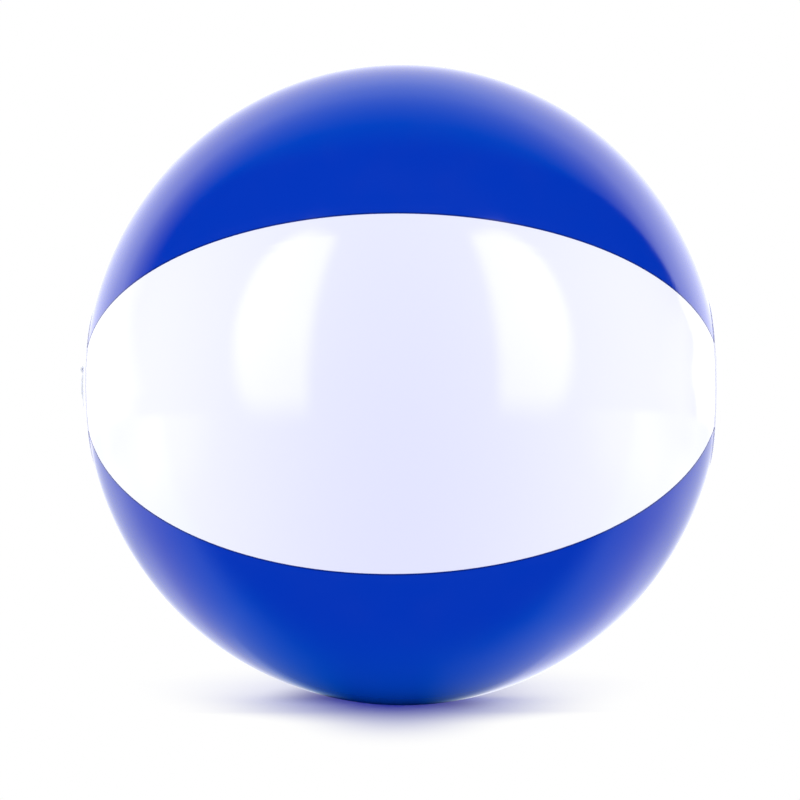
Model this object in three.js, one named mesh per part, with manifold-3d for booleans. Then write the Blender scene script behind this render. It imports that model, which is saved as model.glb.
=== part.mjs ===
// Inflated beach ball: six welded film panels, two end discs and a push-in inflation valve.
// Millimetres, +Z up. The origin is the middle of the flat patch that the ball rests on. The polar axis
// runs along X with the valve at -X, and the middle of one white panel faces -Y.
import * as THREE from 'three';
import { mergeVertices } from 'three/addons/utils/BufferGeometryUtils.js';
import Module from 'manifold-3d';

// Ball and film
const equatorRadius = 150;
const polarRadius = 148.5;
const restPatchRadius = 16;
const film = 0.3;
const weldGap = 0.3;
const seamLap = 3;
const lapRamp = 3.6;
const panelTipRadius = 30;
const endDiscRadius = 41;

// Valve flange, boot and stem
const boreRadius = 3.5;
const stemWall = 2;
const stemLength = 13.6;
const collarOverhang = 1.1;
const collarThickness = 1;
const collarStand = 1;
const bootWidth = 2.5;
const bootDrop = 6.5;
const bootWall = 0.8;
const flangeWidth = 7.4;
const flangeThickness = 1;
const discHoleMargin = 0.4;

// Plug, its tether and the check flap
const plugClearance = 0.2;
const shankLength = 4.5;
const shankTaper = 1.2;
const capInset = 0.2;
const capThickness = 1.3;
const tabLength = 3.5;
const tabWidth = 5;
const tabThickness = 1;
const tetherWidth = 4;
const tetherThickness = 0.8;
const tetherRun = 1.4;
const tetherLoopRadius = 1.4;
const flapOverlap = 0.9;
const flapThickness = 0.6;
const flapEarWidth = 3;
const flapEarInset = 0.3;

// Clearance that touching valve pieces keep
const seatGap = 0.3;

// Facet counts
const panelCount = 6;
const rowsToPatch = 7;
const innerColumns = 6;
const discSegments = 30;
const discRings = 4;
const valveSegments = 24;
const capSegments = 20;
const tetherSteps = 6;

// Sizes worked out from the driving dimensions
const patchAngle = Math.asin(restPatchRadius / equatorRadius);
const patchOuterAngle = patchAngle * Math.cos(Math.PI / 8);
const patchInnerAngle = patchAngle * Math.sin(Math.PI / 8);
const centreHeight = equatorRadius * Math.cos(patchAngle);
const panelAngle = (2 * Math.PI) / panelCount;
const tuckedDepth = film + weldGap;
const stemRadius = boreRadius + stemWall;
const collarRadius = stemRadius + collarOverhang;
const flangeBoreRadius = stemRadius + bootWidth + 2 * seatGap;
const flangeRadius = flangeBoreRadius + flangeWidth;
const discHoleRadius = flangeBoreRadius + discHoleMargin;
const rimLevel = polarRadius + weldGap + film + collarStand;
const stemEnd = rimLevel - stemLength;
const capUnder = rimLevel + seatGap;
const capTop = capUnder + capThickness;
const capRadius = collarRadius - capInset;

// Materials
const finish = (color) => new THREE.MeshStandardMaterial({ color, roughness: 0.2, metalness: 0 });
const blueFilm = finish(0x0034bc);
const whiteFilm = finish(0xeceefa);
const valveVinyl = finish(0xf1f3f6);

const ball = new THREE.Group();
const centre = new THREE.Group();
centre.position.z = centreHeight;
ball.add(centre);

// In these two groups +Y points straight out of the ball at a pole, and Z stays up.
const valveEnd = new THREE.Group();
valveEnd.rotation.z = Math.PI / 2;
const plainEnd = new THREE.Group();
plainEnd.rotation.z = -Math.PI / 2;
centre.add(valveEnd, plainEnd);

function place(parent, name, geometry, material) {
  const mesh = new THREE.Mesh(geometry, material);
  mesh.name = name;
  parent.add(mesh);
}

// A film point: polar is the angle from the valve's pole, around is the angle upwards from the front, and
// depth is how far it lies under the outer surface. The film is pressed flat where the ball rests.
function filmPoint(polar, around, depth) {
  const reach = equatorRadius * Math.sin(polar);
  const point = new THREE.Vector3(
    -polarRadius * Math.cos(polar),
    -reach * Math.cos(around),
    reach * Math.sin(around),
  );
  const out = new THREE.Vector3(
    point.x / polarRadius ** 2,
    point.y / equatorRadius ** 2,
    point.z / equatorRadius ** 2,
  ).normalize();
  point.z += centreHeight;
  if (point.z < 0) {
    point.z = 0;
    out.set(0, 0, -1);
  }
  return point.addScaledVector(out, -depth);
}

// Rows of a panel run from one tip to the other, with two on each side of the middle for the rest patch.
function panelRows() {
  const tip = Math.asin(panelTipRadius / equatorRadius);
  const half = [];
  for (let i = 0; i <= rowsToPatch; i++) {
    half.push(THREE.MathUtils.lerp(tip, Math.PI / 2 - patchOuterAngle, i / rowsToPatch));
  }
  half.push(Math.PI / 2 - patchInnerAngle);
  return [...half, ...half.map((polar) => Math.PI - polar).reverse()];
}

// Columns of a panel at one row, as angles from its middle with the depth of a tucked edge there. Both
// films of a lap have columns at the lap's two edges, so that they lie parallel.
function panelColumns(polar, tucked) {
  const reach = equatorRadius * Math.sin(polar);
  const lap = Math.asin(seamLap / 2 / reach);
  const ramp = Math.asin((seamLap / 2 + lapRamp) / reach);
  const rampAtEquator = Math.asin((seamLap / 2 + lapRamp) / equatorRadius);
  const patchShare = (patchOuterAngle - rampAtEquator) / (panelAngle - 2 * rampAtEquator);
  const patch = ramp + patchShare * (panelAngle - 2 * ramp);
  const edge = panelAngle / 2;
  const half = [
    { angle: -edge - lap, depth: tucked },
    { angle: -edge + lap, depth: tucked },
    { angle: -edge + ramp, depth: 0 },
  ];
  const inner = [];
  for (let i = 0; i <= innerColumns; i++) {
    inner.push({ angle: THREE.MathUtils.lerp(-edge + patch, edge - patch, i / innerColumns), depth: 0 });
  }
  const mirrored = half.map(({ angle, depth }) => ({ angle: -angle, depth })).reverse();
  return [...half, ...inner, ...mirrored];
}

// A panel is a closed shell: an outer grid, an inner grid one film below it, and a rim round both.
function panelGeometry(middle, tucked) {
  const rows = panelRows();
  const columnCount = panelColumns(Math.PI / 2, tucked).length;
  const outer = [];
  const inner = [];
  for (const polar of rows) {
    for (const { angle, depth } of panelColumns(polar, tucked)) {
      outer.push(filmPoint(polar, middle + angle, depth));
      inner.push(filmPoint(polar, middle + angle, depth + film));
    }
  }
  const at = (row, column) => row * columnCount + column;
  const index = [];
  const quad = (a, b, c, d) => index.push(a, b, c, a, c, d);
  for (let i = 0; i + 1 < rows.length; i++) {
    for (let j = 0; j + 1 < columnCount; j++) {
      const corners = [at(i, j), at(i + 1, j), at(i + 1, j + 1), at(i, j + 1)];
      quad(...corners);
      const [a, b, c, d] = corners.map((corner) => corner + outer.length);
      index.push(c, b, a, d, c, a);
    }
  }
  const rim = [];
  for (let i = 0; i + 1 < rows.length; i++) rim.push(at(i, 0));
  for (let j = 0; j + 1 < columnCount; j++) rim.push(at(rows.length - 1, j));
  for (let i = rows.length - 1; i > 0; i--) rim.push(at(i, columnCount - 1));
  for (let j = columnCount - 1; j > 0; j--) rim.push(at(0, j));
  rim.forEach((a, k) => {
    const b = rim[(k + 1) % rim.length];
    quad(b, a, a + outer.length, b + outer.length);
  });
  const geometry = new THREE.BufferGeometry().setFromPoints([...outer, ...inner]);
  geometry.setIndex(index);
  geometry.computeVertexNormals();
  return geometry;
}

// Film panels, upwards from the front. Blue edges lap over the white ones, which tuck in beneath them.
const panelNames = [
  'front_white_panel',
  'upper_front_blue_panel',
  'upper_rear_white_panel',
  'rear_blue_panel',
  'lower_rear_white_panel',
  'lower_front_blue_panel',
];
panelNames.forEach((name, k) => {
  const isBlue = name.includes('blue');
  const geometry = panelGeometry(k * panelAngle, isBlue ? 0 : tuckedDepth);
  place(ball, name, geometry, isBlue ? blueFilm : whiteFilm);
});

// A ring or disc turned about the pole, from its section drawn counter-clockwise as [radius, level] pairs.
function turned(section, segments) {
  const points = section.map(([radius, level]) => new THREE.Vector2(radius, level));
  return new THREE.LatheGeometry(points, segments);
}

// Points of an arc that follows the ball's surface round a pole, lifted off it by lift.
function poleArc(fromRadius, toRadius, lift, steps) {
  const from = Math.asin(fromRadius / equatorRadius);
  const to = Math.asin(toRadius / equatorRadius);
  const points = [];
  for (let i = 0; i <= steps; i++) {
    const angle = THREE.MathUtils.lerp(from, to, i / steps);
    const radius = equatorRadius * Math.sin(angle);
    const level = polarRadius * Math.cos(angle);
    const out = new THREE.Vector2(radius / equatorRadius ** 2, level / polarRadius ** 2).normalize();
    points.push([radius + lift * out.x, level + lift * out.y]);
  }
  return points;
}

// A sheet round a pole: its lower arc outwards, then its upper arc back.
function poleSheet(fromRadius, toRadius, lift, thickness, steps) {
  const lower = poleArc(fromRadius, toRadius, lift, steps);
  const upper = poleArc(fromRadius, toRadius, lift + thickness, steps).reverse();
  return [...lower, ...upper];
}

const closedSection = (section) => [...section, section[0]];

// End discs, welded over the panel tips. The valve's disc has a hole.
const plainDisc = poleSheet(0, endDiscRadius, weldGap, film, discRings);
place(plainEnd, 'right_end_disc', turned(plainDisc, discSegments), whiteFilm);
const holedDisc = closedSection(poleSheet(discHoleRadius, endDiscRadius, weldGap, film, discRings));
place(valveEnd, 'left_end_disc', turned(holedDisc, discSegments), whiteFilm);

// Valve flange, a ring welded under the valve's end disc
const flangeSection = poleSheet(flangeBoreRadius, flangeRadius, -flangeThickness, flangeThickness, 2);
place(valveEnd, 'valve_flange', turned(closedSection(flangeSection), valveSegments), valveVinyl);

// Valve boot, the soft cone that carries the stem and turns inside out when the stem is pulled
const flangeMiddle = poleArc(flangeBoreRadius, flangeRadius, -flangeThickness / 2, 1)[0][1];
const bootOuter = flangeBoreRadius - seatGap;
const bootInner = stemRadius + seatGap;
const bootEnd = flangeMiddle - bootDrop;
const bootSection = [
  [bootInner, bootEnd],
  [bootInner + bootWall, bootEnd],
  [bootOuter, flangeMiddle],
  [bootOuter - bootWall, flangeMiddle],
];
place(valveEnd, 'valve_boot', turned(closedSection(bootSection), valveSegments), valveVinyl);

// Valve stem, a tube with a collar round its mouth, pushed in as the ball is used
const stemSection = [
  [boreRadius, stemEnd],
  [stemRadius, stemEnd],
  [stemRadius, rimLevel - collarThickness],
  [collarRadius, rimLevel - collarThickness],
  [collarRadius, rimLevel],
  [boreRadius, rimLevel],
];
place(valveEnd, 'valve_stem', turned(closedSection(stemSection), valveSegments), valveVinyl);

// Joins closed geometries into one body.
const wasm = await Module();
wasm.setup();
function solidOf(geometry) {
  const bare = geometry.clone();
  bare.deleteAttribute('normal');
  bare.deleteAttribute('uv');
  const merged = mergeVertices(bare);
  return new wasm.Manifold(new wasm.Mesh({
    numProp: 3,
    vertProperties: new Float32Array(merged.attributes.position.array),
    triVerts: new Uint32Array(merged.index.array),
  }));
}
function joined(first, second) {
  const mesh = solidOf(first).add(solidOf(second)).getMesh();
  const geometry = new THREE.BufferGeometry();
  geometry.setAttribute('position', new THREE.BufferAttribute(mesh.vertProperties, 3));
  geometry.setIndex(new THREE.BufferAttribute(mesh.triVerts, 1));
  geometry.computeVertexNormals();
  return geometry;
}

// A flat plate lying across the pole: its outline's Y points up, and it is topLevel high on the outside.
function plate(outline, thickness, topLevel) {
  const settings = { depth: thickness, bevelEnabled: false, curveSegments: capSegments / 2 };
  const geometry = new THREE.ExtrudeGeometry(outline, settings);
  geometry.rotateX(Math.PI / 2);
  geometry.translate(0, topLevel, 0);
  return geometry;
}

// Valve plug: a cap with a tapered shank in the bore, and a pull tab below it
const shankTop = boreRadius - plugClearance;
const plugSection = [
  [0, rimLevel - shankLength],
  [shankTop - shankTaper, rimLevel - shankLength],
  [shankTop, capUnder],
  [capRadius, capUnder],
  [capRadius, capTop],
  [0, capTop],
];
const tabOutline = new THREE.Shape();
tabOutline.moveTo(-tabWidth / 2, -shankTop);
tabOutline.lineTo(-tabWidth / 2, tabWidth / 2 - capRadius - tabLength);
tabOutline.absarc(0, tabWidth / 2 - capRadius - tabLength, tabWidth / 2, Math.PI, 2 * Math.PI, false);
tabOutline.lineTo(tabWidth / 2, -shankTop);
const tab = plate(tabOutline, tabThickness, capTop - (capThickness - tabThickness) / 2);
place(valveEnd, 'valve_plug', joined(turned(plugSection, capSegments), tab), valveVinyl);

// Plug tether: a strap that leaves the collar, loops over and comes back to the cap's edge
const collarMiddle = rimLevel - collarThickness / 2;
const capMiddle = capUnder + capThickness / 2;
const bendFrom = collarRadius + seatGap + tetherRun;
const loopTop = collarMiddle + 2 * tetherLoopRadius;
const capEdge = capRadius + seatGap;
const strapBend = new THREE.EllipseCurve(
  bendFrom, collarMiddle + tetherLoopRadius, tetherLoopRadius, tetherLoopRadius,
  -Math.PI / 2, Math.PI / 2, false,
);
const strapReturn = new THREE.CubicBezierCurve(
  new THREE.Vector2(bendFrom, loopTop),
  new THREE.Vector2(THREE.MathUtils.lerp(bendFrom, capEdge, 0.6), loopTop),
  new THREE.Vector2(THREE.MathUtils.lerp(bendFrom, capEdge, 0.4), capMiddle),
  new THREE.Vector2(capEdge, capMiddle),
);
const strapLine = [
  new THREE.Vector2(collarRadius + seatGap, collarMiddle),
  ...strapBend.getPoints(2 * tetherSteps),
  ...strapReturn.getPoints(tetherSteps).slice(1),
];
const strapSides = [1, -1].map((side) => strapLine.map((point, k) => {
  const before = strapLine[Math.max(k - 1, 0)];
  const after = strapLine[Math.min(k + 1, strapLine.length - 1)];
  const along = k === strapLine.length - 1 ? new THREE.Vector2(-1, 0) : after.clone().sub(before).normalize();
  const across = new THREE.Vector2(-along.y, along.x).multiplyScalar((side * tetherThickness) / 2);
  return point.clone().add(across);
}));
const strapOutline = new THREE.Shape([...strapSides[0], ...strapSides[1].reverse()]);
const strap = new THREE.ExtrudeGeometry(strapOutline, { depth: tetherWidth, bevelEnabled: false });
strap.translate(0, 0, -tetherWidth / 2);
strap.rotateY(-Math.PI / 2);
place(valveEnd, 'plug_tether', strap, valveVinyl);

// Check flap: a disc under the stem's inner end, on an ear that hinges at the top
const flapRadius = boreRadius + flapOverlap;
const earReach = stemRadius - flapEarInset;
const earAngle = Math.asin(flapEarWidth / 2 / flapRadius);
const flapOutline = new THREE.Shape();
flapOutline.absarc(0, 0, flapRadius, Math.PI / 2 + earAngle, (5 * Math.PI) / 2 - earAngle, false);
flapOutline.lineTo(flapEarWidth / 2, earReach);
flapOutline.lineTo(-flapEarWidth / 2, earReach);
place(valveEnd, 'check_flap', plate(flapOutline, flapThickness, stemEnd - seatGap), valveVinyl);

export default ball;
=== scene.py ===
import math

import bmesh
import bpy
from mathutils import Euler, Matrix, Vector


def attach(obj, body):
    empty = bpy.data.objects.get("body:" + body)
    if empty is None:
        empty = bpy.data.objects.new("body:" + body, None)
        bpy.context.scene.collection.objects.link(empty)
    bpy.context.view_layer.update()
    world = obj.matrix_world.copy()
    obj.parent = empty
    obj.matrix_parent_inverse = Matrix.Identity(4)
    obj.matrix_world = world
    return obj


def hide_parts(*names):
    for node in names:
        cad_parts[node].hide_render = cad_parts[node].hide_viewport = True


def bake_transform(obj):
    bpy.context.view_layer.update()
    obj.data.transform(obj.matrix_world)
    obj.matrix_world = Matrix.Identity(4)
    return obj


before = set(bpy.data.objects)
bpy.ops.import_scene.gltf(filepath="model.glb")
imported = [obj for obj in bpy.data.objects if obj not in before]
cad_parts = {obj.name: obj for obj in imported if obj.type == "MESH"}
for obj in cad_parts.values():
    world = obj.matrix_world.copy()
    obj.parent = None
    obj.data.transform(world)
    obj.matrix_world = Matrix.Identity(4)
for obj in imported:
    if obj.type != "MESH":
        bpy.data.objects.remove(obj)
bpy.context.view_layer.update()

# Blue film panels: three gores of glossy blue vinyl film, cut flat and curved by the air inside the ball.
# Each long edge is welded over the edge of the white panel beside it, and both tips run in under the
# end discs.
equator_radius = 0.150
polar_radius = 0.1485
rest_patch_radius = 0.016
film_thickness = 0.0003
lap_half_width = 0.0015
panel_tip_radius = 0.030
panel_half_angle = math.radians(30)
centre_height = equator_radius * math.cos(math.asin(rest_patch_radius / equator_radius))
ball_centre = Vector((0, 0, centre_height))
meridians = 180
parallels = 96

blue_panel_middles = {
    "upper_front_blue_panel": math.radians(60),
    "rear_blue_panel": math.radians(180),
    "lower_front_blue_panel": math.radians(300),
}
blue_edge_profile = [(0, 0.0001), (0.0001, 0)]


def start_piece(name):
    """Names the primitive just added, puts its place into its mesh and opens it for shaping."""
    piece = bpy.context.object
    piece.name = name
    piece.data.name = name
    bpy.ops.object.transform_apply(location=True, rotation=True, scale=True)
    bpy.ops.object.mode_set(mode="EDIT")
    bpy.ops.mesh.select_mode(type="VERT")
    bpy.ops.mesh.select_all(action="SELECT")
    return piece


def pick(piece, wanted):
    """Selects the points of the opened piece whose place passes a test."""
    mesh = bmesh.from_edit_mesh(piece.data)
    bpy.ops.mesh.select_all(action="DESELECT")
    for point in mesh.verts:
        point.select = wanted(point.co)
    mesh.select_flush_mode()
    bmesh.update_edit_mesh(piece.data)


def cut(point, direction, trim=False):
    """Cuts the opened piece along a plane, and takes off what lies beyond it if asked to."""
    bpy.ops.mesh.select_all(action="SELECT")
    bpy.ops.mesh.bisect(plane_co=point, plane_no=direction, clear_outer=trim, threshold=1e-7)


def across_seam(middle, side):
    """Direction square to a seam of the panel with that middle, pointing out of the panel."""
    angle = middle + side * panel_half_angle
    return Vector((0, math.sin(angle), math.cos(angle))) * side


def profile_depth(profile, inset):
    """Depth of a film edge below the ball's surface, between the points of its profile."""
    for (near, near_depth), (far, far_depth) in zip(profile, profile[1:]):
        if inset <= far:
            return near_depth + (far_depth - near_depth) * max(inset - near, 0) / (far - near)
    return 0


def gore(name, middle, edge_profile):
    """A curved panel whose long edges follow a profile of distances in from the edge and depths there."""
    bpy.ops.object.select_all(action="DESELECT")
    bpy.ops.mesh.primitive_uv_sphere_add(
        segments=meridians, ring_count=parallels, radius=equator_radius,
        location=ball_centre, rotation=(0, math.pi / 2, 0),
    )
    panel = start_piece(name)
    bpy.ops.transform.resize(value=(polar_radius / equator_radius, 1, 1), center_override=ball_centre)
    tip = polar_radius * math.sqrt(1 - (panel_tip_radius / equator_radius) ** 2)
    for end in (-1, 1):
        cut(ball_centre + Vector((end * tip, 0, 0)), Vector((end, 0, 0)), trim=True)
    outward = [across_seam(middle, side) for side in (-1, 1)]
    for direction in outward:
        for inset, _ in edge_profile:
            cut(ball_centre + direction * (lap_half_width - inset), direction, trim=(inset == 0))

    def inset_of(place):
        """Distance of a place in from the nearer long edge."""
        return lap_half_width - max((place - ball_centre).dot(direction) for direction in outward)

    mesh = bmesh.from_edit_mesh(panel.data)
    for point in mesh.verts:
        depth = profile_depth(edge_profile, inset_of(point.co))
        point.co = ball_centre + (point.co - ball_centre) * (1 - depth / equator_radius)
    bmesh.update_edit_mesh(panel.data)
    pick(panel, lambda co: co.z < 0)
    bpy.ops.transform.resize(value=(1, 1, 0), center_override=(0, 0, 0))
    bpy.ops.object.mode_set(mode="OBJECT")
    edge_gap = panel.data.attributes.new("edge_gap", "FLOAT", "POINT")
    for point, gap in zip(panel.data.vertices, edge_gap.data):
        gap.value = inset_of(point.co)
    return panel


def apply_modifier(piece, kind, **settings):
    """Adds a modifier to a piece and applies it."""
    bpy.context.view_layer.objects.active = piece
    modifier = piece.modifiers.new(kind.title(), kind)
    for setting, value in settings.items():
        setattr(modifier, setting, value)
    bpy.ops.object.modifier_apply(modifier=modifier.name)


def smooth(piece, degrees=40):
    """Shades a piece smooth, apart from its sharp edges."""
    bpy.ops.object.select_all(action="DESELECT")
    piece.select_set(True)
    bpy.context.view_layer.objects.active = piece
    bpy.ops.object.shade_smooth_by_angle(angle=math.radians(degrees))


def thicken_film(panel):
    """Gives a film panel its thickness, inwards from its outer face."""
    apply_modifier(panel, "SOLIDIFY", thickness=film_thickness, offset=-1, use_even_offset=True)
    smooth(panel, 20)


def node(tree, kind, settings=None, **inputs):
    """Adds a node, sets what it is told, and feeds its inputs from values or from other nodes' outputs."""
    made = tree.nodes.new(kind)
    for setting, value in (settings or {}).items():
        setattr(made, setting, value)
    for label, value in inputs.items():
        key = int(label[3:]) if label.startswith("in_") else label.replace("_", " ")
        socket = made.inputs[key]
        if isinstance(value, bpy.types.NodeSocket):
            tree.links.new(value, socket)
        else:
            socket.default_value = value
    return made


def ramp(tree, value, low, high, to_low=0.0, to_high=1.0, kind="SMOOTHSTEP"):
    """A value carried from one range to another, held at the ends."""
    return node(
        tree, "ShaderNodeMapRange", {"interpolation_type": kind},
        Value=value, From_Min=low, From_Max=high, To_Min=to_low, To_Max=to_high,
    ).outputs["Result"]


def math_node(tree, operation, *values):
    """The result of one sum."""
    fed = {f"in_{i}": value for i, value in enumerate(values)}
    return node(tree, "ShaderNodeMath", {"operation": operation}, **fed).outputs[0]


def parts_of(tree, vector):
    """The X, Y and Z of a vector."""
    return node(tree, "ShaderNodeSeparateXYZ", Vector=vector).outputs


def object_place(tree):
    """Where each point of the piece is."""
    return node(tree, "ShaderNodeTexCoord").outputs["Object"]


def open_group(name, given, results):
    """A node group with its inputs and outputs."""
    group = bpy.data.node_groups.new(name, "ShaderNodeTree")
    for label, kind in given.items():
        group.interface.new_socket(name=label, in_out="INPUT", socket_type=kind)
    for label in results:
        group.interface.new_socket(name=label, in_out="OUTPUT", socket_type="NodeSocketFloat")
    return group


def finish_group(group, results):
    """Feeds a group's outputs."""
    end = node(group, "NodeGroupOutput")
    for label, value in results.items():
        group.links.new(value, end.inputs[label])


def film_surface_group():
    """Broad tone, fine smears and a faint grain, as calendered vinyl film has."""
    textures = {"Tone": (9.0, 2.0), "Smear": (55.0, 4.0), "Grain": (900.0, 2.0)}
    group = open_group("film_surface", {}, textures)
    place = object_place(group)
    finish_group(group, {
        label: node(group, "ShaderNodeTexNoise", Vector=place, Scale=scale, Detail=detail).outputs["Fac"]
        for label, (scale, detail) in textures.items()
    })
    return group


def weld_band_group():
    """A welded lap: how much of the cut edge and of the pressed band is at each place, and its fine ribs."""
    widths = {"Edge width": "NodeSocketFloat", "Band width": "NodeSocketFloat"}
    group = open_group("weld_band", widths, ("Cut edge", "Band", "Ribs"))
    given = node(group, "NodeGroupInput").outputs
    gap = node(group, "ShaderNodeAttribute", {"attribute_name": "edge_gap"}).outputs["Fac"]
    edge_share = math_node(group, "DIVIDE", gap, given["Edge width"])
    band_share = math_node(group, "DIVIDE", gap, given["Band width"])
    band = ramp(group, band_share, 0.8, 1.0, 1.0, 0.0)
    ribs = node(
        group, "ShaderNodeTexWave", {"wave_type": "BANDS", "bands_direction": "X"},
        Vector=object_place(group), Scale=180.0, Distortion=0.4, Detail=1.0,
    ).outputs["Fac"]
    finish_group(group, {
        "Cut edge": ramp(group, edge_share, 0.3, 1.0, 1.0, 0.0),
        "Band": band,
        "Ribs": math_node(group, "MULTIPLY", ribs, band),
    })
    return group


film_surface = film_surface_group()
weld_band = weld_band_group()

blue_colour = (0.0002, 0.0335, 0.470, 1)
blue_deep = (0.0002, 0.0305, 0.452, 1)
# Painted reflection: the blue turns greener low down, standing in for the floor's light mirrored in the film.
blue_painted_floor_light = (0.0002, 0.0470, 0.462, 1)
painted_floor_light_reach = (0.005, 0.060)
# Darker band along each seam: partly the film's own cut edge, partly painted shade where the lap's step
# shades it.
blue_edge_and_painted_shade = (0.0003, 0.018, 0.220, 1)
blue_edge_width = 0.0011
blue_band_width = 0.005
band_roughness = 0.02
rib_share = 0.6
film_roughness = (0.07, 0.11)
smear_range = (0.3, 0.75)
film_grain_depth = 0.000004
vinyl_ior = 1.5


def vinyl_material(name, roughness):
    """A vinyl with its surface shader and its finish, and the roughness that its smears give it."""
    material = bpy.data.materials.new(name)
    material.use_nodes = True
    tree = material.node_tree
    tree.nodes.clear()
    surface = node(tree, "ShaderNodeBsdfPrincipled", IOR=vinyl_ior)
    output = node(tree, "ShaderNodeOutputMaterial")
    tree.links.new(surface.outputs["BSDF"], output.inputs["Surface"])
    finish = node(tree, "ShaderNodeGroup", {"node_tree": film_surface}).outputs
    gloss = ramp(tree, finish["Smear"], *smear_range, *roughness)
    return material, tree, surface.inputs, finish, gloss


def mixed(tree, share, first, second):
    """One colour turning into another."""
    return node(tree, "ShaderNodeMix", {"data_type": "RGBA"}, in_0=share, in_6=first, in_7=second).outputs[2]


def bumped(tree, height, distance):
    """The normals of a surface with a height on it."""
    return node(tree, "ShaderNodeBump", Height=height, Distance=distance, Strength=1.0).outputs["Normal"]


blue_film, tree, surface, finish, gloss = vinyl_material("blue_film", film_roughness)
weld = node(
    tree, "ShaderNodeGroup", {"node_tree": weld_band}, Edge_width=blue_edge_width, Band_width=blue_band_width,
).outputs
height = parts_of(tree, object_place(tree))["Z"]
colour = mixed(tree, finish["Tone"], blue_deep, blue_colour)
# Painted reflection of the floor's light: greener towards the bottom of the ball.
colour = mixed(tree, ramp(tree, height, *painted_floor_light_reach, 1.0, 0.0), colour, blue_painted_floor_light)
# The seam's darker edge, partly the cut edge's own colour and partly painted shade.
colour = mixed(tree, weld["Cut edge"], colour, blue_edge_and_painted_shade)
tree.links.new(colour, surface["Base Color"])
worn_gloss = math_node(tree, "MULTIPLY_ADD", weld["Band"], band_roughness, gloss)
tree.links.new(worn_gloss, surface["Roughness"])
relief = math_node(tree, "MULTIPLY_ADD", weld["Ribs"], rib_share, finish["Grain"])
tree.links.new(bumped(tree, relief, film_grain_depth), surface["Normal"])

for panel_name, middle in blue_panel_middles.items():
    panel = gore(panel_name + "_film", middle, blue_edge_profile)
    thicken_film(panel)
    panel.data.materials.append(blue_film)
    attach(panel, "ball")
    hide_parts(panel_name)

# White film panels: three gores of the same film in a milky lavender white. Their long edges lie under the
# blue ones and come up level with them a few millimetres on.
white_panel_middles = {
    "front_white_panel": 0.0,
    "upper_rear_white_panel": math.radians(120),
    "lower_rear_white_panel": math.radians(240),
}
white_edge_profile = [
    (0, 0.00012), (0.0032, 0.00012), (0.0062, 0.00010), (0.0092, 0.00005), (0.0122, 0.00001), (0.0152, 0),
]
white_middle = (0.735, 0.750, 0.972, 1)
# Painted light: the front panel is painted lighter towards its ends, where the side light falls on it.
white_ends_painted_light = (0.885, 0.895, 0.972, 1)
painted_light_reach = (0.0, 0.150)
painted_light_front_reach = (-0.02, 0.0)
white_tips = (0.760, 0.775, 0.965, 1)
white_tips_reach = (0.122, 0.146)
white_cloud = (0.55, 0.58, 0.78, 1)
cloud_range = (0.2, 0.8)
cloud_share = 0.04


def clouded(tree, finish, colour):
    """A white with the film's faint clouds."""
    share = ramp(tree, finish["Tone"], *cloud_range, 0.0, cloud_share, "LINEAR")
    return mixed(tree, share, colour, white_cloud)


white_film, tree, surface, finish, gloss = vinyl_material("white_film", film_roughness)
parts = parts_of(tree, object_place(tree))
# Painted light, on the front panel only: lighter towards its ends, going back to a lavender close to the
# middle's near the tips.
from_middle = math_node(tree, "ABSOLUTE", parts["X"])
on_front_panel = ramp(tree, parts["Y"], *painted_light_front_reach, 1.0, 0.0)
painted_light_share = math_node(tree, "MULTIPLY", ramp(tree, from_middle, *painted_light_reach), on_front_panel)
colour = mixed(tree, painted_light_share, white_middle, white_ends_painted_light)
colour = mixed(tree, ramp(tree, from_middle, *white_tips_reach), colour, white_tips)
tree.links.new(clouded(tree, finish, colour), surface["Base Color"])
tree.links.new(gloss, surface["Roughness"])
tree.links.new(bumped(tree, finish["Grain"], film_grain_depth), surface["Normal"])

for panel_name, middle in white_panel_middles.items():
    panel = gore(panel_name + "_film", middle, white_edge_profile)
    thicken_film(panel)
    panel.data.materials.append(white_film)
    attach(panel, "ball")
    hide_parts(panel_name)

# End discs: two round discs of the white film, welded over the panel tips along a ring near their edge.
# The left one has a hole in its middle, where the valve is welded in.
end_disc_radius = 0.041
disc_hole_radius = 0.0090
disc_top = 0.0006
disc_under = 0.00003
weld_press = 0.00012
weld_slope_press = 0.000048
rim_depth = 0.00034
around_pole = 96
rim_weld = (0.0345, 0.0390)
valve_weld = (0.0113, 0.0148)
weld_slope = 0.0007
disc_white = (0.745, 0.758, 0.960, 1)
disc_pressed = (0.670, 0.692, 0.930, 1)
# Painted light: the disc's outer edge is painted lighter, over the shade line where its rim meets the panels.
disc_rim_painted_light = (0.900, 0.905, 0.965, 1)
painted_rim_width = 0.0005
pressed_roughness = 0.08
ring_rib_height = 6.0
same_place = 2e-6


def close_up():
    """Merges the doubles of the opened piece, turns its faces outwards and ends its shaping."""
    bpy.ops.mesh.select_all(action="SELECT")
    bpy.ops.mesh.remove_doubles(threshold=same_place)
    bpy.ops.mesh.normals_make_consistent(inside=False)
    bpy.ops.object.mode_set(mode="OBJECT")


def extrude(along, up=0):
    """Extrudes what is selected, along the polar axis and upwards."""
    bpy.ops.mesh.extrude_region_move(TRANSFORM_OT_translate={"value": (along, 0, up)})


def is_on_ring(place, side, radius, level):
    """Whether a point lies on a ring round the polar axis."""
    from_centre = place - ball_centre
    off_radius = math.hypot(from_centre.y, from_centre.z) - radius
    return abs(off_radius) < same_place and abs(side * from_centre.x - level) < same_place


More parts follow.
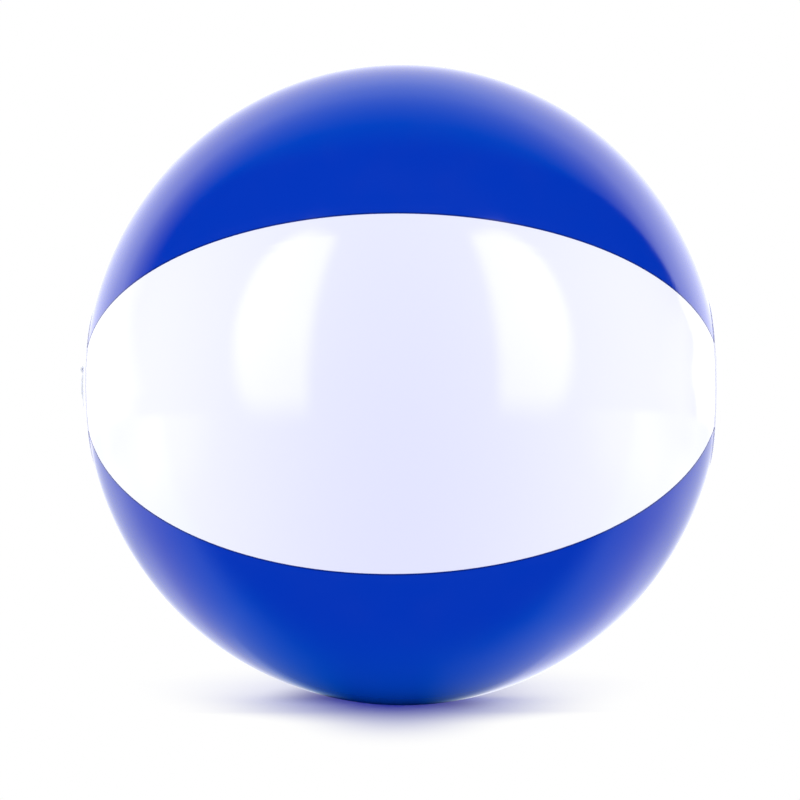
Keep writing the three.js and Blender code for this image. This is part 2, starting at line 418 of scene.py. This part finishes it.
def turned(name, side, section, closed):
    """A piece turned about the polar axis: side is -1 for the valve's end, and the section is a list of
    radii and of distances from the ball's middle. A section that isn't closed gets its two ends filled."""
    radius, level = section[0]
    bpy.ops.object.select_all(action="DESELECT")
    bpy.ops.mesh.primitive_circle_add(
        vertices=around_pole, radius=radius, location=ball_centre + Vector((side * level, 0, 0)),
        rotation=(0, math.pi / 2, 0),
    )
    piece = start_piece(name)
    for next_radius, next_level in section[1:]:
        extrude(side * (next_level - level))
        grow = next_radius / radius
        bpy.ops.transform.resize(value=(1, grow, grow), center_override=ball_centre)
        radius, level = next_radius, next_level
    if not closed:
        for end_radius, end_level in (section[0], section[-1]):
            pick(piece, lambda co: is_on_ring(co, side, end_radius, end_level))
            extrude(0)
            bpy.ops.mesh.merge(type="CENTER")
    close_up()
    return piece


def on_ball(radius, lift):
    """A point of a section, lifted off the ball's surface."""
    level = polar_radius * math.sqrt(1 - (radius / equator_radius) ** 2)
    out = Vector((radius / equator_radius ** 2, level / polar_radius ** 2)).normalized()
    return radius + lift * out.x, level + lift * out.y


def pressed_ring(start, end):
    """Radii and lifts across a weld ring that is pressed a little into a disc."""
    return [
        (start - weld_slope, disc_top), (start - weld_slope / 2, disc_top - weld_slope_press),
        (start, disc_top - weld_press), (end, disc_top - weld_press),
        (end + weld_slope / 2, disc_top - weld_slope_press), (end + weld_slope, disc_top),
    ]


disc_face = [(radius, disc_top) for radius in (0.018, 0.022, 0.026, 0.030)]
disc_rim = [
    *pressed_ring(*rim_weld),
    (end_disc_radius - 0.0006, disc_top - 0.00003), (end_disc_radius - 0.0002, disc_top - 0.00015),
    (end_disc_radius, disc_top - 0.00035), (end_disc_radius, -rim_depth),
    (end_disc_radius - 0.0005, -rim_depth),
]
disc_back = [(radius, disc_under) for radius in (0.036, 0.030, 0.024, 0.018)]
plain_middle = [(radius, disc_top) for radius in (0.0008, 0.004, 0.008, 0.013)]
plain_back = [(radius, disc_under) for radius in (0.012, 0.006, 0.0008)]
hole_edge = [
    (disc_hole_radius, disc_under), (disc_hole_radius, 0.0003), (disc_hole_radius + 0.00015, 0.0005),
    (disc_hole_radius + 0.0004, disc_top), *pressed_ring(*valve_weld),
]
end_discs = {
    "left_end_disc": (-1, hole_edge + disc_face + disc_rim + disc_back + hole_edge[:1], True),
    "right_end_disc": (1, plain_middle + disc_face + disc_rim + disc_back + plain_back, False),
}


def vector_node(tree, operation, *vectors, result="Vector"):
    """The result of one sum of vectors."""
    fed = {f"in_{i}": vector for i, vector in enumerate(vectors)}
    return node(tree, "ShaderNodeVectorMath", {"operation": operation}, **fed).outputs[result]


def length(tree, vector):
    """How long a vector is."""
    return vector_node(tree, "LENGTH", vector, result="Value")


def weld_share(tree, radius, start, end):
    """How much of a weld ring is at each place on a disc."""
    inner = ramp(tree, radius, start - weld_slope, start)
    outer = ramp(tree, radius, end, end + weld_slope, 1.0, 0.0)
    return math_node(tree, "MULTIPLY", inner, outer)


disc_film, tree, surface, finish, gloss = vinyl_material("disc_film", film_roughness)
from_middle = vector_node(tree, "SUBTRACT", object_place(tree), ball_centre)
radius = length(tree, vector_node(tree, "MULTIPLY", from_middle, (0, 1, 1)))
valve_end = ramp(tree, parts_of(tree, from_middle)["X"], -0.01, 0.01, 1.0, 0.0)
valve_ring = math_node(tree, "MULTIPLY", weld_share(tree, radius, *valve_weld), valve_end)
welded = math_node(tree, "ADD", weld_share(tree, radius, *rim_weld), valve_ring)
rings = node(
    tree, "ShaderNodeTexWave", {"wave_type": "RINGS", "rings_direction": "X"},
    Vector=from_middle, Scale=390.0, Distortion=0.0,
).outputs["Fac"]
colour = mixed(tree, welded, clouded(tree, finish, disc_white), disc_pressed)
# Painted light on the disc's outer edge.
painted_rim_share = ramp(tree, radius, end_disc_radius - painted_rim_width, end_disc_radius)
tree.links.new(mixed(tree, painted_rim_share, colour, disc_rim_painted_light), surface["Base Color"])
pressed_gloss = math_node(tree, "MULTIPLY_ADD", welded, pressed_roughness, gloss)
tree.links.new(pressed_gloss, surface["Roughness"])
ribs = math_node(tree, "MULTIPLY", rings, welded)
relief = math_node(tree, "MULTIPLY_ADD", ribs, ring_rib_height, finish["Grain"])
tree.links.new(bumped(tree, relief, film_grain_depth), surface["Normal"])

for disc_name, (side, section, closed) in end_discs.items():
    disc = turned(disc_name + "_film", side, [on_ball(*point) for point in section], closed)
    smooth(disc)
    disc.data.materials.append(disc_film)
    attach(disc, "ball")
    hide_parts(disc_name)

# Valve flange: a moulded ring of soft clear-white vinyl, welded to the underside of the left end disc. Only
# its rounded lip shows in the disc's hole.
flange_bore_radius = 0.0086
flange_middle_radius = 0.0120
flange_radius = 0.0160
flange_thickness = 0.001
flange_seat = 0.00002
lip_rounding = 0.00025
lip_corner = 0.00008
flange_section = [
    (flange_bore_radius, -flange_thickness + lip_rounding), (flange_bore_radius, -lip_rounding),
    (flange_bore_radius + lip_corner, -lip_corner), (flange_bore_radius + lip_rounding, -flange_seat),
    (flange_middle_radius, -flange_seat), (flange_radius, -flange_seat), (flange_radius, -flange_thickness),
    (flange_middle_radius, -flange_thickness), (flange_bore_radius + lip_rounding, -flange_thickness),
]

vinyl_clear = (0.68, 0.72, 0.79, 1)
vinyl_milky = (0.78, 0.80, 0.85, 1)
vinyl_roughness = (0.18, 0.30)
vinyl_grain_depth = 0.00001

valve_vinyl, tree, surface, finish, gloss = vinyl_material("valve_vinyl", vinyl_roughness)
tree.links.new(mixed(tree, finish["Smear"], vinyl_clear, vinyl_milky), surface["Base Color"])
tree.links.new(gloss, surface["Roughness"])
tree.links.new(bumped(tree, finish["Grain"], vinyl_grain_depth), surface["Normal"])
surface["Subsurface Weight"].default_value = 0.15
surface["Subsurface Radius"].default_value = (0.0015, 0.0015, 0.002)
surface["Subsurface Scale"].default_value = 1.0

flange = turned("valve_flange_ring", -1, [on_ball(*p) for p in flange_section + flange_section[:1]], True)
smooth(flange)
flange.data.materials.append(valve_vinyl)
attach(flange, "ball")
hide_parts("valve_flange")

# Valve boot: a soft vinyl cone moulded between the flange and the stem. It hangs inwards while the stem is
# pushed in, and turns inside out when the stem is pulled.
boot_section = [
    (0.00555, 0.14120), (0.00590, 0.14145), (0.00625, 0.14225), (0.00690, 0.14400), (0.00755, 0.14580),
    (0.00810, 0.14705), (0.00865, 0.14765), (0.00865, 0.14825), (0.00785, 0.14770), (0.00705, 0.14600),
    (0.00640, 0.14420), (0.00590, 0.14270), (0.00555, 0.14200),
]
boot = turned("valve_boot_cone", -1, boot_section + boot_section[:1], True)
smooth(boot, 60)
boot.data.materials.append(valve_vinyl)
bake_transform(boot)
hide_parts("valve_boot")

# Valve stem: a moulded vinyl tube with a collar round its mouth, for blowing the ball up. It is pushed in
# until the collar sits just proud of the disc.
stem_bore_radius = 0.0035
stem_radius = 0.0055
stem_inner_end = 0.1365
collar_radius = 0.0066
collar_under = 0.1491
stem_mouth = 0.1501
stem_waist = 0.1440
mouth_flare = 0.0003
mouth_depth = 0.0006
stem_rounding = 0.00025
stem_section = [
    (stem_bore_radius, stem_inner_end), (stem_radius, stem_inner_end), (stem_radius, stem_waist),
    (stem_radius, collar_under), (collar_radius, collar_under), (collar_radius, stem_mouth),
    (stem_bore_radius + mouth_flare, stem_mouth), (stem_bore_radius, stem_mouth - mouth_depth),
    (stem_bore_radius, stem_waist),
]


def soften(piece, width, segments):
    """Rounds the sharp edges of a piece."""
    turn = math.radians(50)
    apply_modifier(piece, "BEVEL", width=width, segments=segments, limit_method="ANGLE", angle_limit=turn)


stem = turned("valve_stem_tube", -1, stem_section + stem_section[:1], True)
soften(stem, stem_rounding, 3)
smooth(stem)
stem.data.materials.append(valve_vinyl)
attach(stem, "stem")
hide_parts("valve_stem")

# Plug tether: a thin flat strap of the same moulding. It leaves the collar, loops over and runs into the arm
# of the plug, so that the plug can't be lost.
tether_width = 0.004
tether_thickness = 0.0008
tether_level = 0.1496
tether_loop_radius = 0.0014
tether_root = 0.0062
tether_loop_height = 0.0083
tether_loop_end = tether_level + 2 * tether_loop_radius
tether_tongue = 0.0004
tether_bend_steps = 24
tether_rounding = 0.00022


def strap_end(name, width, thickness, level, height):
    """The end face of a flat strap, opened for extruding."""
    bpy.ops.object.select_all(action="DESELECT")
    bpy.ops.mesh.primitive_plane_add(size=1, location=(-level, 0, centre_height + height))
    bpy.context.object.scale = (thickness, width, 1)
    return start_piece(name)


tether = strap_end("plug_tether_strap", tether_width, tether_thickness, tether_level, tether_root)
extrude(0, tether_loop_height - tether_root)
bpy.ops.mesh.spin(
    steps=tether_bend_steps, angle=math.pi, axis=(0, 1, 0),
    center=(-tether_level - tether_loop_radius, 0, centre_height + tether_loop_height),
)
extrude(0, -tether_tongue)
close_up()
soften(tether, tether_rounding, 3)
smooth(tether)
tether.data.materials.append(valve_vinyl)
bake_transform(tether)
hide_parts("plug_tether")

# Valve plug: a moulded cap with a tapered shank that jams in the stem's bore, an arm that takes the tether,
# and a tab with three ridges to pull it by.
plug_section = [
    (0.0005, 0.1456), (0.0021, 0.1456), (0.00255, 0.1474), (0.0028, 0.1478), (0.00285, 0.1482),
    (0.0028, 0.1486), (0.0029, 0.1493), (0.0033, 0.1504), (0.0064, 0.1504), (0.0064, 0.1517),
    (0.0047, 0.1517), (0.0043, 0.1513), (0.0020, 0.15122), (0.0005, 0.1512),
]
rim_level = 0.15105
arm_width = 0.0042
arm_thickness = 0.0009
arm_end_height = 0.0060
arm_steps = 8
tab_width = 0.005
tab_thickness = 0.001
tab_foot = 0.0050
tab_tip = 0.0099
ridge_heights = (0.0071, 0.0079, 0.0087)
ridge_size = (0.0003, 0.0028, 0.0003)
plug_rounding = 0.00018


def block(name, level, height, size):
    """A block below the plug's middle, opened for shaping."""
    middle = ball_centre - Vector((level, 0, height))
    bpy.ops.object.select_all(action="DESELECT")
    bpy.ops.mesh.primitive_cube_add(size=1, location=middle)
    bpy.context.object.scale = size
    return start_piece(name)


plug = turned("valve_plug_cap", -1, plug_section, False)
arm = strap_end("plug_arm", arm_width, arm_thickness, tether_loop_end, tether_loop_height)
reached = (tether_loop_end, tether_loop_height)
for i in range(1, arm_steps + 1):
    t = i / arm_steps
    ease = t * t * (3 - 2 * t)
    level = tether_loop_end + (rim_level - tether_loop_end) * ease
    height = tether_loop_height + (arm_end_height - tether_loop_height) * t
    extrude(reached[0] - level, height - reached[1])
    reached = (level, height)
close_up()
tab_size = (tab_thickness, tab_width, tab_tip - tab_foot)
tab = block("plug_tab", rim_level, (tab_tip + tab_foot) / 2, tab_size)
bpy.ops.mesh.select_all(action="DESELECT")
mesh = bmesh.from_edit_mesh(tab.data)
for edge in mesh.edges:
    along_thickness = abs(edge.verts[0].co.x - edge.verts[1].co.x) > tab_thickness / 2
    edge.select = along_thickness and edge.verts[0].co.z < centre_height - tab_tip + 1e-6
bmesh.update_edit_mesh(tab.data)
bpy.ops.mesh.bevel(offset=tab_width / 2 - 1e-5, segments=10, affect="EDGES")
bpy.ops.object.mode_set(mode="OBJECT")
extras = [arm, tab]
for i, height in enumerate(ridge_heights):
    extras.append(block(f"plug_ridge_{i}", rim_level + tab_thickness / 2, height, ridge_size))
    bpy.ops.object.mode_set(mode="OBJECT")
for extra in extras:
    apply_modifier(plug, "BOOLEAN", operation="UNION", object=extra, solver="EXACT")
    bpy.data.objects.remove(extra)
soften(plug, plug_rounding, 2)
smooth(plug)
plug.data.materials.append(valve_vinyl)
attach(plug, "plug")
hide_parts("valve_plug")

# Check flap: a thin vinyl disc under the stem's inner end, on an ear at its top. It closes the bore when air
# tries to leave, and is pinched open to let the ball down.
flap_radius = 0.0044
flap_thickness = 0.0006
flap_level = 0.1359
flap_ear_width = 0.003
flap_ear_reach = 0.0054
flap_rounding = 0.00012

bpy.ops.object.select_all(action="DESELECT")
bpy.ops.mesh.primitive_cylinder_add(
    vertices=72, radius=flap_radius, depth=flap_thickness,
    location=ball_centre - Vector((flap_level, 0, 0)), rotation=(0, math.pi / 2, 0),
)
flap = start_piece("check_flap_disc")
bpy.ops.mesh.select_mode(type="FACE")
bpy.ops.mesh.select_all(action="DESELECT")
mesh = bmesh.from_edit_mesh(flap.data)
for face in mesh.faces:
    middle = face.calc_center_median()
    face.select = abs(face.normal.x) < 0.5 and middle.z > centre_height and abs(middle.y) < flap_ear_width / 2
bmesh.update_edit_mesh(flap.data)
extrude(0, flap_ear_reach - flap_radius)
bpy.ops.transform.resize(value=(1, 1, 0), center_override=(0, 0, centre_height + flap_ear_reach))
bpy.ops.object.mode_set(mode="OBJECT")
soften(flap, flap_rounding, 2)
smooth(flap)
flap.data.materials.append(valve_vinyl)
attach(flap, "flap")
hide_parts("check_flap")

# Floor: a plain white studio table that ends before a white backdrop. It stays white in the picture, keeps
# the ball's soft shadow, and throws its light back on the ball. Groups of four values are a range and the
# amounts at its two ends.
floor_size = 8.0
floor_grey = (0.86, 0.86, 0.88)
shadow_tint = (1.0, 1.0, 0.74, 1)
shadow_edge_tint = (1.0, 1.0, 0.84, 1)
# Painted shade: soft dark spots in the floor's colour beside the contact, deepening the shadow there.
shade_spots = (
    ((-0.034, 0.004, 0.0), (0.040, 0.024, 0.040), 0.15),
    ((0.024, -0.014, 0.0), (0.024, 0.020, 0.016), 0.28),
)
contact_middle = (-0.00675, 0.0, 0.0)
contact_shade = (0.0285, 0.0395)
shadow_reach = (0.012, 0.115)
shadow_narrows_forwards = (-0.064, -0.034, 1.9, 1.04)
shadow_widens_backwards = (-0.02, 0.04, 1.0, 0.75)
shadow_shift = (-0.04, 0.0, 0.002, 0.008)
shadow_tint_reach = (0.03, 0.09)
bounce_near = (0.015, 0.10, 0.25, 1.175)
bounce_far = (0.12, 0.50, 1.0, 0.80)
bounce_sides = (0.10, 0.50, 1.0, 1.43)
bounce_back = (-0.02, 0.30, 1.0, 0.78)
table_edge = (1.1, 1.5)
table_turn = 0.68
table_rise = 1.161
table_tint = (0.97, 0.96, 1.0)
table_veil = (-0.65, 0.0, 0.36, 0.04)
table_dims = (0.10, 0.28, 1.03, 0.75)
table_dims_behind = (0.30, 0.65, 1.0, 0.80)
behind_turn = (0.12, 0.40, 0.2, -0.1)
right_side = (-0.01, 0.03)
right_gain_near = (0.05, 0.24, 0.34, 0.05)
right_turn_near = (0.06, 0.12, 0.25, 0.0)
squeeze_near = (0.08, 0.14, 0.8, 1.0)
front_shade_shift = 0.008
front_shade_edge = (0.015, 0.10)
front_shade_opens = (-0.03, 0.05, 0.0, 0.2)
front_edge = (-0.115, -0.065)
far_patch_reach = (0.40, 0.80)
far_patch_sides = ((0.10, 0.30), (0.40, 0.62, 1.0, 0.0))
far_patch_dims = (0.0, 1.0, 1.0, 0.55)
far_light_sides = ((-0.55, -0.30), (-0.05, 0.20, 1.0, 0.0))
far_light_reach = (0.22, 0.50, 0.0, 0.7)
veil_tint = (0.0, 1.0, 2.0)
backdrop_tint = (0.95, 0.96, 1.05)
backdrop_start = 0.335
backdrop_rise = 3.13
backdrop_limit = 0.83
backdrop_widens = ((0.0, 0.25, 0.22, 0.0), (0.60, 0.72, -0.028, 0.0), (0.72, 1.0, 0.0, 0.11))
backdrop_edge = (math.cos(math.radians(48)), -math.sin(math.radians(48)), -0.25)
backdrop_edge_reach = (-0.025, 0.025, 1.0, 0.0)
backdrop_edge_foot = (0.0, 0.10, 0.10, 0.0)
backdrop_foot_light = (0.14, 0.27, 0.30, 0.0)
backdrop_dims_upwards = ((0.24, 0.95, 1.83, 0.66), (0.70, 0.95, 1.0, 0.60))
backdrop_dims_sideways = ((0.10, 0.40, 0.98, 1.0), (0.58, 0.76, 1.0, 0.87))
backdrop_right_gain = (-0.05, 0.30, 1.0, 1.12)
backdrop_veil = (0.45, 0.92, 0.0, 0.27)


def product(tree, factors):
    """All the factors multiplied together."""
    total = factors[0]
    for factor in factors[1:]:
        total = math_node(tree, "MULTIPLY", total, factor)
    return total


def either(tree, choice, shader, chosen):
    """One shader, or another where the choice is 1."""
    return node(tree, "ShaderNodeMixShader", in_0=choice, in_1=shader.outputs[0], in_2=chosen.outputs[0])


def by_ray(tree, pictured, mirrored, lit):
    """One shader where the camera looks, one in the film's mirror image and one for all other light."""
    rays = node(tree, "ShaderNodeLightPath").outputs
    straight = math_node(tree, "MAXIMUM", rays["Is Camera Ray"], rays["Is Transmission Ray"])
    return either(tree, straight, either(tree, rays["Is Glossy Ray"], lit, mirrored), pictured)


def flat_vector(tree, across, along):
    """A vector in a plane."""
    return node(tree, "ShaderNodeCombineXYZ", X=across, Y=along).outputs[0]


def shade_spot(tree, place, middle, reach, darkest):
    """Light left in a painted soft shade on the floor, which reaches sideways, to the front and to the back.
    """
    beside, before, behind = reach
    off = parts_of(tree, vector_node(tree, "SUBTRACT", place, middle))
    backwards = math_node(tree, "DIVIDE", off["Y"], behind)
    forwards = math_node(tree, "DIVIDE", off["Y"], -before)
    lengthways = math_node(tree, "MAXIMUM", backwards, forwards)
    share = flat_vector(tree, math_node(tree, "DIVIDE", off["X"], beside), lengthways)
    return ramp(tree, length(tree, share), 0.0, 1.0, darkest, 1.0)


def level_and_veil(tree, level, veil):
    """A level held at zero, and a faint blue veil that reaches a little further out."""
    lit = math_node(tree, "MAXIMUM", level, 0.0)
    veiled = math_node(tree, "MAXIMUM", math_node(tree, "ADD", level, veil), 0.0)
    return lit, math_node(tree, "SUBTRACT", veiled, lit)


def tinted(tree, level, tint, veil):
    """The colour of a level in its tint, with the veil's blue added."""
    veil_colour = vector_node(tree, "MULTIPLY", veil, veil_tint)
    return vector_node(tree, "ADD", vector_node(tree, "MULTIPLY", level, tint), veil_colour)


def backdrop_group():
    """How bright a white backdrop looks in a direction: it stands behind the ball, gets brighter downwards
    and ends in a leaning edge on the right. It reaches further round at its foot and at its top."""
    group = open_group("backdrop", {"Direction": "NodeSocketVector"}, ("Level", "Veil"))
    given = node(group, "NodeGroupInput").outputs["Direction"]
    parts = parts_of(group, given)
    sideways = math_node(group, "ABSOLUTE", parts["X"])
    beyond_edge = vector_node(group, "DOT_PRODUCT", given, backdrop_edge, result="Value")
    beyond_edge = math_node(group, "SUBTRACT", beyond_edge, ramp(group, parts["Z"], *backdrop_edge_foot))
    foot_light = ramp(group, parts["Z"], *backdrop_foot_light)
    edge_share = math_node(group, "MAXIMUM", ramp(group, beyond_edge, *backdrop_edge_reach), foot_light)
    backwards = parts["Y"]
    for widening in backdrop_widens:
        backwards = math_node(group, "ADD", backwards, ramp(group, parts["Z"], *widening, "LINEAR"))
    behind = math_node(group, "SUBTRACT", backwards, backdrop_start)
    behind = math_node(group, "MULTIPLY", behind, backdrop_rise)
    level = product(group, (
        math_node(group, "MINIMUM", behind, backdrop_limit),
        *[ramp(group, parts["Z"], *dimming, "LINEAR") for dimming in backdrop_dims_upwards],
        *[ramp(group, sideways, *dimming) for dimming in backdrop_dims_sideways],
        ramp(group, parts["X"], *backdrop_right_gain),
        edge_share,
    ))
    veil = math_node(group, "MULTIPLY", ramp(group, parts["Z"], *backdrop_veil), edge_share)
    finish_group(group, dict(zip(("Level", "Veil"), level_and_veil(group, level, veil))))
    return group


backdrop = backdrop_group()

bpy.ops.object.select_all(action="DESELECT")
bpy.ops.mesh.primitive_plane_add(size=floor_size, location=(0, 0, 0))
floor = bpy.context.object
floor.name = "studio_floor"
floor_white = bpy.data.materials.new("floor_white")
floor_white.use_nodes = True
floor_white.cycles.emission_sampling = "NONE"
tree = floor_white.node_tree
tree.nodes.clear()
place = object_place(tree)
distance = length(tree, place)
direction = vector_node(tree, "NORMALIZE", place)
parts = parts_of(tree, place)

# What the camera sees: white, with the real shadow showing through near the ball, less far to the front, and
# painted shade spots that deepen it beside the contact
narrowing = product(tree, (
    ramp(tree, parts["Y"], *shadow_narrows_forwards, "LINEAR"),
    ramp(tree, parts["Y"], *shadow_widens_backwards, "LINEAR"),
))
from_shadow = math_node(tree, "ADD", parts["X"], ramp(tree, parts["Y"], *shadow_shift, "LINEAR"))
across = math_node(tree, "MULTIPLY", from_shadow, narrowing)
shadow_distance = length(tree, flat_vector(tree, across, parts["Y"]))
shadow_share = ramp(tree, shadow_distance, *shadow_reach, 1.0, 0.0)
tint = mixed(tree, ramp(tree, shadow_distance, *shadow_tint_reach), shadow_tint, shadow_edge_tint)
shadow_colour = mixed(tree, shadow_share, (0, 0, 0, 1), tint)
shade = product(tree, [shade_spot(tree, place, *spot) for spot in shade_spots])
shaded_colour = vector_node(tree, "MULTIPLY", shadow_colour, floor_grey)
shaded_colour = vector_node(tree, "MULTIPLY", shaded_colour, shade)
white_colour = vector_node(tree, "SUBTRACT", (1, 1, 1), shadow_colour)
shaded = node(tree, "ShaderNodeBsdfDiffuse", Color=shaded_colour)
plain = node(tree, "ShaderNodeEmission", Color=white_colour, Strength=1.0)
pictured = node(tree, "ShaderNodeAddShader", in_0=shaded.outputs[0], in_1=plain.outputs[0])

# What it throws back on the ball: a lit white table, darker round the contact
off_middle = math_node(tree, "ABSOLUTE", parts["X"])
bounce = product(tree, (
    ramp(tree, distance, *bounce_near),
    ramp(tree, distance, *bounce_far, "LINEAR"),
    ramp(tree, off_middle, *bounce_sides, "LINEAR"),
    ramp(tree, parts["Y"], *bounce_back, "LINEAR"),
))
lit = node(tree, "ShaderNodeEmission", Color=(1, 1, 1, 1), Strength=bounce)

# What the film mirrors: a table lit from behind, with the ball's shade in front of it, and the backdrop
# beyond the table's edge
heading = parts_of(tree, direction)["Y"]
off_shade = math_node(tree, "ABSOLUTE", math_node(tree, "ADD", parts["X"], front_shade_shift))
off_shade = math_node(tree, "ADD", off_shade, ramp(tree, parts["Y"], *front_shade_opens, "LINEAR"))
to_right = ramp(tree, parts["X"], *right_side)
near_gain = math_node(tree, "MULTIPLY", to_right, ramp(tree, distance, *right_gain_near, "LINEAR"))
near_turn = math_node(tree, "MULTIPLY", to_right, ramp(tree, distance, *right_turn_near, "LINEAR"))
heading = math_node(tree, "MULTIPLY", heading, ramp(tree, distance, *squeeze_near, "LINEAR"))
heading = math_node(tree, "ADD", heading, near_turn)
far_heading = math_node(tree, "ADD", heading, ramp(tree, distance, *behind_turn, "LINEAR"))
from_contact = length(tree, vector_node(tree, "SUBTRACT", place, contact_middle))
in_light = product(tree, (
    ramp(tree, off_shade, *front_shade_edge, kind="LINEAR"),
    ramp(tree, parts["Y"], *front_edge),
    ramp(tree, from_contact, *contact_shade),
))
far_patch = product(tree, (
    ramp(tree, distance, *far_patch_reach),
    *[ramp(tree, heading, *side) for side in far_patch_sides],
))
table = product(tree, (
    math_node(tree, "MULTIPLY", math_node(tree, "ADD", heading, table_turn), table_rise),
    ramp(tree, far_patch, *far_patch_dims, "LINEAR"),
    ramp(tree, far_heading, *table_dims_behind),
    ramp(tree, distance, *table_dims, "LINEAR"),
    math_node(tree, "ADD", near_gain, 1.0),
    in_light,
))
far_light = product(tree, (
    *[ramp(tree, heading, *side) for side in far_light_sides],
    ramp(tree, distance, *far_light_reach),
))
table = math_node(tree, "ADD", table, far_light)
veil = math_node(tree, "MULTIPLY", ramp(tree, heading, *table_veil, "LINEAR"), in_light)
beyond = node(tree, "ShaderNodeGroup", {"node_tree": backdrop}, Direction=direction).outputs
off_table = ramp(tree, distance, *table_edge)
mirror = [
    node(tree, "ShaderNodeMix", {"data_type": "FLOAT"}, in_0=off_table, in_2=near, in_3=far).outputs[0]
    for near, far in zip(level_and_veil(tree, table, veil), (beyond["Level"], beyond["Veil"]))
]
mirror_colour = tinted(tree, mirror[0], table_tint, mirror[1])
mirrored = node(tree, "ShaderNodeEmission", Color=mirror_colour, Strength=1.0)
output = node(tree, "ShaderNodeOutputMaterial")
tree.links.new(by_ray(tree, pictured, mirrored, lit).outputs[0], output.inputs["Surface"])
floor.data.materials.append(floor_white)

# Studio light: an even white surround whose bright backdrop shows in the film behind the ball, and two tall
# soft boxes that stand on the floor to the left and right of the camera.
front_level = 0.892
side_level = 1.414
back_level = 0.90
overhead_gain = 1.10
left_gain = 1.03
right_gain = 0.91
side_gain = 0.95
front_reach = (-1.0, -0.30)
back_reach = (-0.30, 0.75)
side_reach = (0.2, 1.0)
world = bpy.data.worlds.new("studio")
bpy.context.scene.world = world
world.use_nodes = True
world.cycles.sampling_method = "NONE"
tree = world.node_tree
tree.nodes.clear()
direction = node(tree, "ShaderNodeTexCoord").outputs["Generated"]
parts = parts_of(tree, direction)
sideways = math_node(tree, "ABSOLUTE", parts["X"])
level = product(tree, (
    ramp(tree, parts["Y"], *front_reach, front_level, side_level, "LINEAR"),
    ramp(tree, parts["Y"], *back_reach, 1.0, back_level / side_level, "LINEAR"),
    ramp(tree, parts["Z"], 0.0, 1.0, 1.0, overhead_gain, "LINEAR"),
    ramp(tree, parts["X"], -1.0, 1.0, left_gain, right_gain, "LINEAR"),
    ramp(tree, sideways, *side_reach, 1.0, side_gain, "LINEAR"),
))
around = node(tree, "ShaderNodeBackground", Color=(1, 1, 1, 1), Strength=level)
glow = node(tree, "ShaderNodeGroup", {"node_tree": backdrop}, Direction=direction).outputs
glow_colour = tinted(tree, glow["Level"], backdrop_tint, glow["Veil"])
mirrored = node(tree, "ShaderNodeBackground", Color=glow_colour, Strength=1.0)
behind = node(tree, "ShaderNodeBackground", Color=(1, 1, 1, 1), Strength=1.0)
output = node(tree, "ShaderNodeOutputWorld")
tree.links.new(by_ray(tree, behind, mirrored, around).outputs[0], output.inputs["Surface"])

soft_box_distance = 0.8
soft_box_width = 0.54
soft_box_height = 1.36
soft_box_middle = 0.055
soft_box_radiance = 3.6
inner_edge = (0.213, 0.303)
round_middle = (0.09, 0.55)
round_reach = (0.225, 0.575)
round_edge = (0.8, 1.2)
foot_fades = ((0.0, 0.13, 0.0, 1.0), (0.0, 0.42, 0.68, 1.0))
soft_boxes = {"left_soft_box": (-45.5, 1, 0.0), "right_soft_box": (49.9, -1, 0.025)}
for box_name, (azimuth, inwards, lean) in soft_boxes.items():
    turn = math.radians(azimuth)
    out = Vector((math.sin(turn), -math.cos(turn), 0))
    along = Vector((math.cos(turn), math.sin(turn), 0)) * inwards
    middle = out * soft_box_distance + along * soft_box_middle + Vector((0, 0, soft_box_height / 2))
    bpy.ops.object.light_add(type="AREA", location=middle, rotation=(math.pi / 2, 0, turn))
    box = bpy.context.object
    box.name = box_name
    box.data.shape = "RECTANGLE"
    box.data.size = soft_box_width
    box.data.size_y = soft_box_height
    box.data.energy = soft_box_radiance * math.pi * soft_box_width * soft_box_height
    box.visible_camera = False
    box.visible_diffuse = False
    box.data.use_nodes = True
    tree = box.data.node_tree
    tree.nodes.clear()
    spot = parts_of(tree, node(tree, "ShaderNodeNewGeometry").outputs["Parametric"])
    half_width = inwards * soft_box_width / 2
    sides = (soft_box_middle - half_width, soft_box_middle + half_width)
    inward = ramp(tree, spot["X"], 0.0, 1.0, *sides, "LINEAR")
    height = ramp(tree, spot["Y"], 0.0, 1.0, 0.0, soft_box_height, "LINEAR")
    leaned = math_node(tree, "ADD", inward, math_node(tree, "MULTIPLY", height, lean))
    outward = math_node(tree, "MAXIMUM", math_node(tree, "SUBTRACT", round_middle[0], inward), 0.0)
    upward = math_node(tree, "SUBTRACT", height, round_middle[1])
    outward = math_node(tree, "DIVIDE", outward, round_reach[0])
    upward = math_node(tree, "DIVIDE", upward, round_reach[1])
    strength = product(tree, (
        ramp(tree, length(tree, flat_vector(tree, outward, upward)), *round_edge, 1.0, 0.0),
        ramp(tree, leaned, *inner_edge, 1.0, 0.0),
        *[ramp(tree, height, *fade, "LINEAR") for fade in foot_fades],
    ))
    glow = node(tree, "ShaderNodeEmission", Color=(1, 1, 1, 1), Strength=strength)
    output = node(tree, "ShaderNodeOutputLight")
    tree.links.new(glow.outputs[0], output.inputs["Surface"])

# Camera: level with the ball's middle and nearly square to the front white panel, close enough for the ball
# to fill most of the picture.
camera_distance = 0.945
camera_azimuth = math.radians(1.75)
camera_elevation = math.radians(1.7)
camera_roll = math.radians(-0.47)
back = Vector((
    math.sin(camera_azimuth) * math.cos(camera_elevation),
    -math.cos(camera_azimuth) * math.cos(camera_elevation),
    math.sin(camera_elevation),
))
bpy.ops.object.camera_add(location=ball_centre + back * camera_distance)
camera = bpy.context.object
aim = (-back).to_track_quat("-Z", "Y")
camera.rotation_mode = "QUATERNION"
camera.rotation_quaternion = aim @ Euler((0, 0, camera_roll)).to_quaternion()
camera.data.sensor_width = 36
camera.data.lens = 89.75
camera.data.shift_x = -0.0026
camera.data.shift_y = -0.0191
bpy.context.scene.camera = camera
bpy.context.scene.view_settings.view_transform = "Standard"
